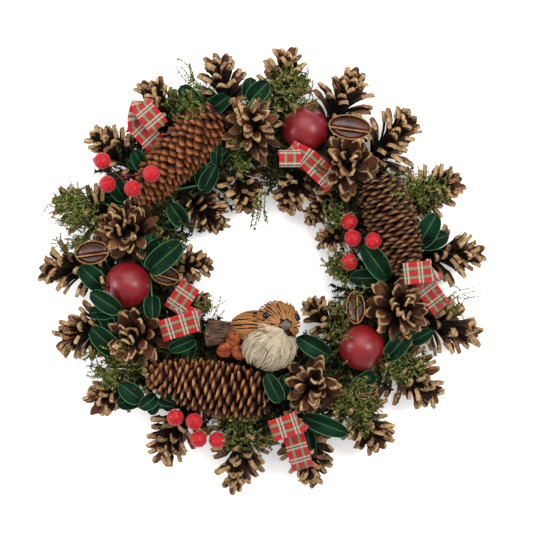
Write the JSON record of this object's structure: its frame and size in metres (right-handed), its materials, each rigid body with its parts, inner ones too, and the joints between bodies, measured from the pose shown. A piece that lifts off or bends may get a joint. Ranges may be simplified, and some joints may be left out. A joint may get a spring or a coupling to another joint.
{
  "type": "christmas wreath",
  "caption": "Round christmas wreath of open pine cones and spruce cones on a straw ring, with red apples, frosted berries, tartan ribbons, leaves and a small fibre robin.",
  "frame": {"origin": "middle of the wreath's outline on the surface that its back lies on", "axes": "+Z out of the wreath's face, +Y to its top as it hangs, +X to the viewer's right"},
  "size_m": [0.3664, 0.3644, 0.091],
  "materials": {
    "straw": "matt straw bound with thin cord",
    "pine_cone": "dry matt scales, dark brown with tan tips",
    "spruce_cone": "dry satin scales, warm brown",
    "apple": "satin red lacquer",
    "berry": "red with a frosted coat",
    "tartan": "woven ribbon in red, green, white and tan checks",
    "seed_pod": "dry pod, tan rim and glossy brown hollow",
    "leaf": "soft matt green with a pale edge",
    "fibre": "wound brown plant fibre",
    "breast": "cream straw fibres",
    "beak": "grey brown",
    "bead": "glossy black bead",
    "bark": "rough dark bark"
  },
  "bodies": {
    "root": {"apple_1": "apple", "apple_2": "apple", "apple_3": "apple", "berry_pick_1": "berry", "berry_pick_2": "berry", "berry_pick_3": "berry", "front_cone_1": "pine_cone", "front_cone_2": "pine_cone", "front_cone_3": "pine_cone", "front_cone_4": "pine_cone", "front_cone_5": "pine_cone", "front_cone_6": "pine_cone", "inner_cone_1": "pine_cone", "inner_cone_10": "pine_cone", "inner_cone_2": "pine_cone", "inner_cone_3": "pine_cone", "inner_cone_4": "pine_cone", "inner_cone_5": "pine_cone", "inner_cone_6": "pine_cone", "inner_cone_7": "pine_cone", "inner_cone_8": "pine_cone", "inner_cone_9": "pine_cone", "leaf_spray_1": "leaf", "leaf_spray_2": "leaf", "leaf_spray_3": "leaf", "leaf_spray_4": "leaf", "leaf_spray_5": "leaf", "leaf_spray_6": "leaf", "leaf_spray_7": "leaf", "leaf_spray_8": "leaf", "outer_cones_1": "pine_cone", "outer_cones_2": "pine_cone", "outer_cones_3": "pine_cone", "outer_cones_4": "pine_cone", "outer_cones_5": "pine_cone", "outer_cones_6": "pine_cone", "outer_cones_7": "pine_cone", "outer_cones_8": "pine_cone", "outer_cones_9": "pine_cone", "ribbon_1": "tartan", "ribbon_2": "tartan", "ribbon_3": "tartan", "ribbon_4": "tartan", "ribbon_5": "tartan", "robin_beak": "beak", "robin_body": "fibre", "robin_breast": "breast", "robin_eye_left": "bead", "robin_eye_right": "bead", "robin_tail": "bark", "seed_capsule": "seed_pod", "seed_pod_1": "seed_pod", "seed_pod_2": "seed_pod", "seed_pod_3": "seed_pod", "seed_pod_4": "seed_pod", "seed_pod_5": "seed_pod", "spruce_cone_1": "spruce_cone", "spruce_cone_2": "spruce_cone", "spruce_cone_3": "spruce_cone", "straw_ring": "straw"}
  },
  "joints": []
}
